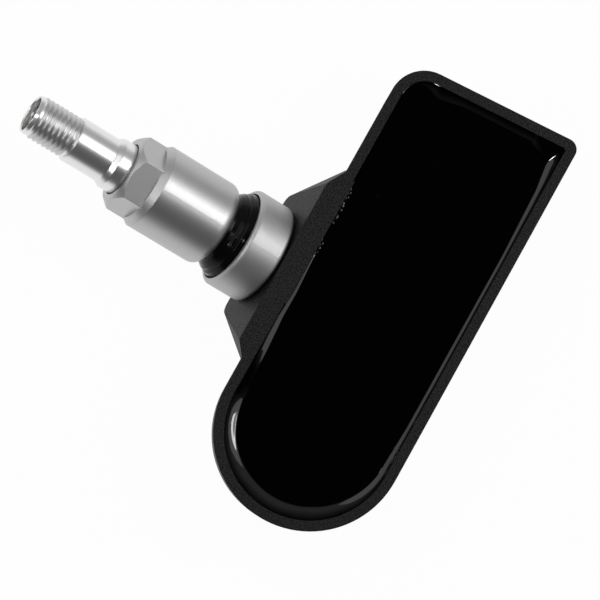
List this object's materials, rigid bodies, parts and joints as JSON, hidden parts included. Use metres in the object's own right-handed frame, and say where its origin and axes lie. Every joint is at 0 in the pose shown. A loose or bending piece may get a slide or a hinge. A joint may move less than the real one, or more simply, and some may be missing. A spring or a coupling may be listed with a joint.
{
  "type": "tyre pressure sensor",
  "caption": "Wheel-mounted tyre pressure sensor: potted plastic housing with a tilted clamp-in metal valve, rubber grommet and sleeve nut.",
  "frame": {"origin": "middle of the flat underside between the two long walls, on the valve's plane", "axes": "+Z out of the potted face, +Y towards the square end, +X across the housing away from the valve"},
  "size_m": [0.0874, 0.0852, 0.03],
  "materials": {
    "housing_plastic": "fine-grained matt black moulding",
    "potting_resin": "glossy black cast resin",
    "board_laminate": "green solder mask",
    "cell_steel": "bright plated steel",
    "contact_metal": "tin-plated strip",
    "chip_plastic": "moulded chip package",
    "tube_rubber": "soft grey silicone",
    "filter_membrane": "white breathable membrane",
    "ferrite": "sintered ferrite",
    "copper_wire": "enamelled copper winding",
    "capacitor_ceramic": "tan ceramic",
    "screw_steel": "zinc-plated steel",
    "stem_metal": "bright nickel-plated turned aluminium",
    "satin_aluminium": "satin blasted aluminium",
    "grommet_rubber": "glossy black rubber",
    "core_nickel": "nickel plated turned brass",
    "gasket_plastic": "red sealing ring"
  },
  "bodies": {
    "root": {"housing": "housing_plastic", "potting": "potting_resin", "circuit_board": "board_laminate", "coin_cell": "cell_steel", "battery_tab_negative": "contact_metal", "battery_tab_positive": "contact_metal", "pressure_sensor_chip": "chip_plastic", "port_tube": "tube_rubber", "port_filter": "filter_membrane", "transmitter_chip": "chip_plastic", "crystal": "cell_steel", "coil_core_bar": "ferrite", "coil_winding": "copper_wire", "aerial_strap": "contact_metal", "capacitors": "capacitor_ceramic", "retaining_screw": "screw_steel", "valve_stem": "stem_metal", "collar": "satin_aluminium", "grommet": "grommet_rubber", "core_plug": "core_nickel", "core_gasket": "gasket_plastic", "core_spring": "screw_steel"},
    "washer": {"thrust_washer": "screw_steel"},
    "nut": {"collar_nut": "satin_aluminium"},
    "pin": {"core_pin": "core_nickel", "core_seal": "grommet_rubber"}
  },
  "joints": [
    {"name": "nut_travel", "type": "slide", "parent": "root", "child": "washer", "axis": [-0.9397, 0, 0.342], "range_m": [0, 0.005]},
    {"name": "nut_turn", "type": "hinge", "parent": "washer", "child": "nut", "pos_m": [-0.03911, 0, 0.01573], "axis": [-0.9397, 0, 0.342], "range_deg": [0, 1800]},
    {"name": "pin_press", "type": "slide", "parent": "root", "child": "pin", "axis": [0.9397, 0, -0.342], "range_m": [0, 0.0012], "stiffness_N_per_m": 600, "springref_m": -0.001, "deforming": ["core_spring"]}
  ],
  "couplings": [
    {"joint": "nut_travel", "follows": "nut_turn", "m_per_rad": 0.00015915}
  ]
}
